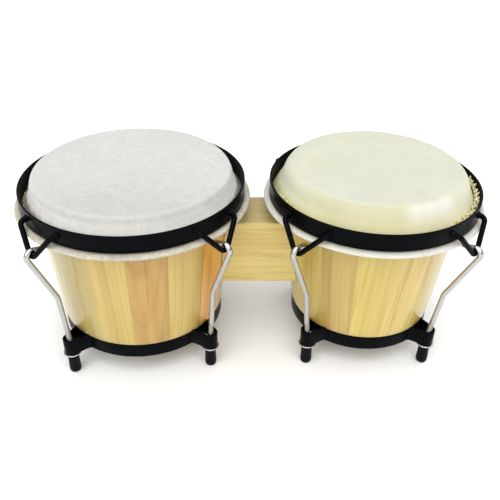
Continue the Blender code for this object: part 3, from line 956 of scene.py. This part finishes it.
def ear_route(drum, steps=10):
    """From inside the band's wall out to the corner, down to the tip of the V and back, facing +X."""
    z = (drum.rim_top + drum.rim_low) / 2
    leg, corner = drum.ear_leg, drum.ear_corner
    tip, tip_z = drum.ear_tip
    root = sqrt((drum.rim_radius - BAND_WALL / 2) ** 2 - leg**2)
    half_angle = atan2(leg, z - tip_z)
    apex_z = tip_z - EAR_TIP_BEND * (1 / sin(half_angle) - 1)
    points = [(root, -leg, z), (corner, -leg, z), (tip, 0, apex_z), (corner, leg, z), (root, leg, z)]
    return filleted(points, [EAR_CORNER_BEND, EAR_TIP_BEND, EAR_CORNER_BEND], steps=steps)


def from_weld(distance, total):
    """How far a place on a bent bar is from where it comes out of the band, at either end."""
    return max(min(distance, total - distance) - BAND_WALL / 2, 0)


def make_rim(drum, look):
    outer = drum.rim_radius
    outline = band_outline(outer, outer - BAND_WALL, drum.rim_low, drum.rim_top)
    seam = radians(-76) if drum.name == "small" else radians(100)

    def welded(radius, z, angle):
        """The ground-off weld that closes the band, a low ridge on its outer face."""
        if radius <= outer - 0.7 * MM:
            return radius, z
        off = ((angle - seam + pi) % (2 * pi) - pi) * outer
        return radius - 0.25 * MM + 0.22 * MM * exp(-((off / (1.1 * MM)) ** 2)), z

    band = turned("band", outline, drum.x, steps=ROUND * 2, shift=welded)
    route = resampled(ear_route(drum), 1.2 * MM)
    total = length_of(route)

    def bar(i, distance, angle):
        """Round bar that swells into a weld bead where it meets the band."""
        side_light_and_tint = from_weld(distance, total)
        r = EAR_BAR + 1.1 * MM * exp(-side_light_and_tint / (0.9 * MM))
        r *= 1 + 0.03 * wander(distance * 900, angle) * exp(-side_light_and_tint / (3 * MM))
        return r * cos(angle), r * sin(angle)

    ears = [tube("ear", route, bar, 20, matrix=drum.facing(corner)) for corner in CORNERS]
    mesh = united("rim_with_ears_" + drum.name, band, ears)
    add_piece(mesh, look, "rim_" + drum.name, ["rim_" + drum.name], drum.x)


# ---- hooks


def hook_route(drum, corner, arc_steps=22):
    """Up from the foot, out along the shell, over the tip of the ear and inwards, facing +X."""
    foot = drum.foot_circle(corner)
    end_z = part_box(f"hook_{drum.name}_{corner}")[0][2]
    ear = ear_route(drum)
    tip = Vector((ear[len(ear) // 2][0], ear[len(ear) // 2][2]))
    bend = Vector(drum.bend)
    reach = EAR_BAR + GAP + ROD
    rise = tip - bend
    slope = atan2(rise.y, rise.x) - asin(reach / rise.length)
    over = []
    for step in range(arc_steps + 1):
        a = slope - pi / 2 + (HOOK_ARC_END - slope + pi / 2) * step / arc_steps
        over.append((tip.x + reach * cos(a), tip.y + reach * sin(a)))
    leave = HOOK_ARC_END + pi / 2
    point = (over[-1][0] + HOOK_POINT * cos(leave), over[-1][1] + HOOK_POINT * sin(leave))
    lower = [(foot, end_z), (foot, HOOK_KINK_Z), tuple(bend), over[0]]
    plane = filleted(lower, [HOOK_BEND, HOOK_BEND], steps=14) + over[1:] + [point]
    return [(r, 0.0, z) for r, z in plane]


def make_hook(drum, corner, look):
    """A rod, threaded at its foot, round above it, and flattened to a round nose at its tip."""
    name = f"{drum.name}_{corner}"
    route = hook_route(drum, corner)
    thread_end = drum.ring_low + LUG_HEIGHT + HOOK_THREAD_ABOVE_LUG
    threaded = resampled(route, PITCH / 5)
    cut = next(i for i, p in enumerate(threaded) if p.z > thread_end + 2 * MM)
    joint = threaded[cut]
    above = [p for p in route if Vector(p).z > joint.z or p[0] > joint.x]
    dense = threaded[: cut + 1] + resampled([joint, *above], HOOK_STEP)[1:]
    total = length_of(dense)

    def rod(i, distance, angle):
        a = b = ROD
        left = total - distance
        flat = 1 - smoothstep(HOOK_NOSE, HOOK_FLAT, left)
        a *= 1 - HOOK_FLATTENED * flat
        b *= 1 + HOOK_FLATTENED * flat
        if left < HOOK_NOSE:
            tipped = sqrt(max(1 - (1 - left / HOOK_NOSE) ** 2, 0.02))
            a *= 0.5 + 0.5 * tipped
            b *= tipped
        on_thread = 1 - smoothstep(thread_end - 1 * MM, thread_end + 1 * MM, dense[i].z)
        if on_thread and distance > 0.5 * MM and left > 60 * MM:
            phase = (distance / PITCH - angle / (2 * pi)) % 1.0
            cutting = THREAD_DEPTH * on_thread * abs(2 * phase - 1)
            a -= cutting
            b -= cutting
        if distance < 0.6 * MM:
            a *= 0.82 + 0.3 * distance / MM
            b *= 0.82 + 0.3 * distance / MM
        return a * cos(angle), b * sin(angle)

    mesh = tube("hook_rod_" + name, dense, rod, 24, (0, -1, 0), drum.facing(corner), 50.0)
    add_piece(mesh, look, "rim_" + drum.name, ["hook_" + name], drum.x)


# ---- bottom rings


def lug_route(drum, foot):
    """The strap's middle line in plan: along the ring, out, round the rod and back, facing +X."""
    ring = drum.ring_radius - BAND_WALL / 2
    half = LUG_HALF_WIDTH - LUG_PLATE / 2
    root_x = sqrt(ring**2 - half**2)
    nose = LUG_NOSE - LUG_PLATE / 2
    reach = foot - root_x
    side_light_and_tint = hypot(reach, half)
    touch = atan2(half, -reach) - acos(nose / side_light_and_tint)
    arc = [(foot + nose * cos(a), nose * sin(a)) for a in np.linspace(-touch, touch, LUG_STEPS)]
    return [(root_x, -half), *arc, (root_x, half)]


def make_bottom_ring(drum, look):
    outer = drum.ring_radius
    outline = band_outline(outer, outer - BAND_WALL, drum.ring_low, drum.ring_high)
    seed = 2.2 if drum.name == "large" else 5.5

    def chipped(radius, z, angle):
        """The upper edge's coat, nicked here and there."""
        if z < drum.ring_high - 0.9 * MM:
            return radius, z
        nick = max(0.0, wander(70 * cos(angle), 70 * sin(angle), seed) - 0.25)
        return radius, z - 0.9 * MM * nick

    band = turned("ring", outline, drum.x, steps=ROUND * 2, shift=chipped)
    half = LUG_PLATE / 2
    low, high = drum.ring_low + 0.1 * MM, drum.ring_low + LUG_HEIGHT
    middle = (low + high) / 2
    tall = (high - low) / 2
    corners = [(-half, -tall), (half, -tall), (half, tall), (-half, tall)]
    section = filleted(corners, [0.5 * MM] * 4, True, 4)
    lugs = []
    for corner in CORNERS:
        plan = lug_route(drum, drum.foot_circle(corner))
        route = resampled([(x, y, middle) for x, y in plan], 1.0 * MM)
        total = length_of(route)

        def strap(i, distance, angle):
            """The plate in section, thicker where it is welded to the ring."""
            thick, up = section[round(angle / (2 * pi) * len(section)) % len(section)]
            return thick * (1 + 1.3 * exp(-from_weld(distance, total) / (1.0 * MM))), up

        lugs.append(tube("lug", route, strap, len(section), (0, 0, 1), drum.facing(corner)))
    mesh = united("ring_with_lugs_" + drum.name, band, lugs)
    add_piece(mesh, look, "drums", ["bottom_ring_" + drum.name], drum.x)


# ---- washers, nuts, feet and bolts


def washer_outline(radius, hole, low, high):
    bevel = (high - low) * 0.35
    return band_outline(radius, hole, low, high, (bevel, bevel, 0.1 * MM, 0.1 * MM), 3)


def hexagon(name, half_flats, hole, low, high):
    """A hexagonal nut, or a bolt's head when hole is 0, with its corners turned off at 30 degrees."""
    sides = 72
    angles = [2 * pi * k / sides for k in range(sides)]
    circle = half_flats * 0.985

    def corner_radius(a):
        return half_flats / cos((a + pi / 6) % (pi / 3) - pi / 6)

    def drop(a):
        return max(corner_radius(a) - circle, 0) * tan(radians(30))

    def ring(radius, z):
        return [(radius * cos(a), radius * sin(a), z) for a in angles]

    def flats(z_of):
        return [(corner_radius(a) * cos(a), corner_radius(a) * sin(a), z_of(a)) for a in angles]

    rows = [
        ring(circle, high),
        flats(lambda a: high - drop(a) - 0.02 * MM),
        flats(lambda a: low + drop(a) + 0.02 * MM),
        ring(circle, low),
    ]
    if hole == 0:
        return mesh_from(name, *grid(rows, False, ((0, 0, high), (0, 0, low))), 25.0)
    sink = 0.35 * MM
    rows += [ring(hole + sink, low), ring(hole, low + sink), ring(hole, high - sink), ring(hole + sink, high)]
    return mesh_from(name, *grid(rows, True), 25.0)


def foot_outline(radius, top, nut_low):
    """A moulded cap: a rounded sole with a shallow hollow, a beaded mouth, and the pocket for the nut."""
    hollow = 2.4 * MM
    hollow_z = 0.4 * MM
    bead = radius - 0.15 * MM
    corners_and_bends = [
        ((bead, top), 0.6 * MM),
        ((bead, top - 1.6 * MM), 0.2 * MM),
        ((radius - 0.5 * MM, top - 2.1 * MM), 0.3 * MM),
        ((radius - 0.1 * MM, 4.5 * MM), 1.5 * MM),
        ((radius - 0.6 * MM, 0.0), 2.2 * MM),
        ((hollow, 0.0), 0.1 * MM),
        ((hollow - 0.3 * MM, hollow_z), 0.1 * MM),
    ]
    corners, bends = zip(*corners_and_bends)
    outside = filleted([(NUT_POCKET, top), *corners, (0.0, hollow_z)], bends, False, 7)
    seat = nut_low - GAP
    inside = [(0.0, FOOT_BASE), (HOLE, FOOT_BASE), (HOLE, seat), (NUT_POCKET, seat)]
    return [*outside[::-1], (NUT_POCKET, top - 0.3 * MM), *inside[::-1]]


def make_small_parts(drum, corner, looks):
    name = f"{drum.name}_{corner}"
    x, y = drum.rods[corner]
    radius, low, high = radius_and_heights("washer_" + name)
    outline = washer_outline(radius, HOLE, low, high)
    washer = turned("flat_washer_" + name, outline, x, y, SMALL_ROUND)
    add_piece(washer, looks["washer"], "drums", ["washer_" + name], drum.x)

    _, nut_low, nut_high = radius_and_heights("nut_" + name)
    nut = hexagon("hex_nut_" + name, NUT_HALF, HOLE, nut_low, nut_high)
    nut.transform(Matrix.Translation((x, y, 0)) @ Matrix.Rotation(drum.rod_angle(corner), 4, "Z"))
    add_piece(nut, looks["washer"], "tuner_" + name, ["nut_" + name], drum.x)

    _, _, mouth = radius_and_heights("foot_" + name)
    outline = foot_outline(FOOT_RADIUS, mouth, nut_low)
    cap = turned("rubber_foot_" + name, outline, x, y, SMALL_ROUND, 50.0)
    add_piece(cap, looks["rubber"], "tuner_" + name, ["foot_" + name], drum.x)


def make_bridge_bolt(drum, level, look):
    """A hexagon-headed bolt and its washer, lying along X, from inside the shell into the block."""
    name = f"{drum.name}_{level}"
    low, high = (Vector(p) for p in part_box("bridge_bolt_" + name))
    z = (low.z + high.z) / 2
    towards = 1 if drum.name == "large" else -1
    back = low.x if towards > 0 else high.x
    length = high.x - low.x
    facing = Matrix.Translation((back, 0, z)) @ Matrix.Rotation(towards * pi / 2, 4, "Y")
    inside_head = BOLT_HEAD_HEIGHT - 0.5 * MM
    corners = [(0, inside_head), (BOLT_RADIUS, inside_head), (BOLT_RADIUS, length), (0, length)]
    shank = turned("shank", filleted(corners, [0, 0.5 * MM]), steps=32)
    head = hexagon("head", BOLT_HEAD_HALF, 0, 0.0, BOLT_HEAD_HEIGHT)
    bolt = united("hex_bolt_" + name, head, [shank], 25.0)
    bolt.transform(facing)
    add_piece(bolt, look, "drums", ["bridge_bolt_" + name], drum.x)
    low, high = (Vector(p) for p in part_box("bridge_washer_" + name))
    near = abs((low.x if towards > 0 else high.x) - back)
    outline = washer_outline(BOLT_WASHER_RADIUS, BOLT_WASHER_HOLE, near, near + high.x - low.x)
    flat = turned("bolt_washer_" + name, outline, steps=48)
    flat.transform(facing)
    add_piece(flat, look, "drums", ["bridge_washer_" + name], drum.x)


# ---- bridge block


def make_block(large, small, look, across=28, caps=10):
    """A block with eased edges whose ends follow the two shells."""
    low, high = (Vector(p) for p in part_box("bridge_block"))
    middle = (low + high) / 2
    corners = [(low.y, low.z), (high.y, low.z), (high.y, high.z), (low.y, high.z)]
    outline = filleted(corners, [BLOCK_EASE] * 4, True, 6)
    outline = [tuple(p) for p in resampled([*outline, outline[0]], 2.5 * MM)][:-1]

    def ends(y, z):
        left = large.x + sqrt((large.shell_radius(z) + GAP) ** 2 - y * y)
        right = small.x - sqrt((small.shell_radius(z) + GAP) ** 2 - y * y)
        return left, right

    def ring(share, scale):
        """A ring of points at a share of the way across, scaled about the block's middle line."""
        made = []
        for y, z in outline:
            y = middle.y + (y - middle.y) * scale
            z = middle.z + (z - middle.z) * scale
            left, right = ends(y, z)
            made.append((left + (right - left) * share, y, z))
        return made

    rows = [ring(0.0, k / caps) for k in range(1, caps)]
    rows += [ring(k / across, 1.0) for k in range(across + 1)]
    rows += [ring(1.0, k / caps) for k in range(caps - 1, 0, -1)]
    left, right = ends(middle.y, middle.z)
    poles = ((left, middle.y, middle.z), (right, middle.y, middle.z))
    mesh = mesh_from("block_wood_piece", *grid(rows, False, poles), 40.0)
    trees = []
    for vertex in mesh.vertices:
        x, y, z = vertex.co
        trees += [y - 34 * MM + 0.05 * x, z - low.z + 18 * MM + 0.03 * x, x + 5.0]
    set_attribute(mesh, "tree", "FLOAT_VECTOR", "POINT", trees)
    # Painted shade: the top face is darker and greyer than the sides, though it is the same wood
    side_tone, top_shade = np.array((206, 187, 111)), np.array((-16, -13, 4))
    paint_tone(mesh, lambda at: side_tone + smoothstep(high.z - 1.5 * MM, high.z, at.z) * top_shade)
    add_piece(mesh, look, "drums", ["bridge_block"])


# ---- studio

FLOOR_HALF = 30.0
SKY_LIGHT = 0.55
SKY_SEEN = 1.0
CAMERA_PLACE = (-0.01626, -0.50290, 0.43143)
CAMERA_AIM = (0.02648, 0.82796, -0.56016)
CAMERA_ROLL = 0.01974
CAMERA_LENS = 45.19
CAMERA_SENSOR = 36


def soft_sun(name, towards, strength, width):
    """A distant light as wide as a large softbox: the same all over the floor, with soft shadows."""
    data = bpy.data.lights.new(name, "SUN")
    data.energy = strength
    data.angle = radians(width)
    add_object(name, data).rotation_euler = Vector(towards).to_track_quat("Z", "Y").to_euler()


def make_studio():
    """A wide pale floor, two soft suns, and a white sky that lights less than the camera sees of it."""
    half = FLOOR_HALF
    corners = [(-half, -half, 0), (half, -half, 0), (half, half, 0), (-half, half, 0)]
    mesh = bpy.data.meshes.new("floor")
    mesh.from_pydata(corners, [], [(0, 1, 2, 3)])
    floor = add_object("floor", mesh)
    look = Look("pale_floor")
    look.set(Base_Color=(0.93, 0.93, 0.93, 1), Roughness=0.9, Specular_IOR_Level=0.1)
    mesh.materials.append(look.material)

    world = bpy.data.worlds.new("studio")
    world.use_nodes = True
    background = world.node_tree.nodes["Background"]
    background.inputs["Color"].default_value = (1, 1, 1, 1)
    seen = world.node_tree.nodes.new("ShaderNodeLightPath").outputs["Is Camera Ray"]
    strength = world.node_tree.nodes.new("ShaderNodeMapRange")
    strength.inputs["To Min"].default_value = SKY_LIGHT
    strength.inputs["To Max"].default_value = SKY_SEEN
    world.node_tree.links.new(seen, strength.inputs["Value"])
    world.node_tree.links.new(strength.outputs["Result"], background.inputs["Strength"])
    bpy.context.scene.world = world
    bpy.context.scene.view_settings.view_transform = "Standard"

    soft_sun("front_light", (-0.25, -0.85, 1.0), 2.3, 70)
    soft_sun("top_light", (0.25, 0.15, 1.0), 1.3, 80)


def make_camera():
    data = bpy.data.cameras.new("camera")
    data.lens = CAMERA_LENS
    data.sensor_width = CAMERA_SENSOR
    camera = add_object("camera", data)
    forward = Vector(CAMERA_AIM).normalized()
    right = forward.cross(Vector((0, 0, 1))).normalized()
    up = right.cross(forward)
    level = Matrix((right, up, -forward)).transposed()
    turn = level @ Matrix.Rotation(CAMERA_ROLL, 3, "Z")
    camera.matrix_world = Matrix.Translation(CAMERA_PLACE) @ turn.to_4x4()
    bpy.context.scene.camera = camera


# ---- everything


def main():
    make_studio()
    make_camera()
    shell_looks = {
        "large": wood_look(
            "lacquered_staves_large", gloss=0.22, dark=(0.72, 0.54, 0.40), ring_depth=0.42, fibre_depth=0.035
        ),
        "small": wood_look(
            "lacquered_staves_small", gloss=0.22, dark=(0.77, 0.62, 0.44), ring_depth=0.36, fibre_depth=0.035
        ),
    }
    raw = wood_look("raw_inside_wood", gloss=0.62, dark=(0.72, 0.55, 0.42), ring_depth=0.45, fibre_depth=0.08)
    block_look = wood_look(
        "block_softwood", gloss=0.34, dark=(0.78, 0.64, 0.50), ring_depth=0.40, fibre_depth=0.05
    )
    skin_looks = {
        "large": skin_look(
            "rawhide_grey", speckle=0.10, mottle=0.085, fleck=(0.90, 0.84, 0.74), patchy=0.15, rough=0.58
        ),
        "small": skin_look(
            "rawhide_cream", speckle=0.025, mottle=0.02, fleck=(0.99, 0.95, 0.78), patchy=0.50, rough=0.46
        ),
    }
    black = coat_look()
    chrome = chrome_look("chromed_rod", srgb(186, 187, 186), rough=0.16, stain_top=48 * MM)
    plated = chrome_look("plated_washer", srgb(182, 183, 182), rough=0.20, stain_top=NO_STAIN)
    zinc = chrome_look("zinc_plate", srgb(170, 170, 166), rough=0.34, stain_top=NO_STAIN)
    rubber = rubber_look()

    drums = {name: Drum(name) for name in DRUMS}
    for name, drum in drums.items():
        make_shell(drum, [shell_looks[name], raw])
        make_skin(drum, skin_looks[name])
        make_trim(drum, skin_looks[name])
        make_rim(drum, black)
        make_bottom_ring(drum, black)
        for corner in CORNERS:
            make_hook(drum, corner, chrome)
            make_small_parts(drum, corner, {"washer": plated, "rubber": rubber})
        for level in ("upper", "lower"):
            make_bridge_bolt(drum, level, zinc)
        flesh_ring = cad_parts["flesh_ring_" + name]
        for material_slot in flesh_ring.material_slots:
            material_slot.material = zinc
    make_block(drums["large"], drums["small"], block_look)


main()
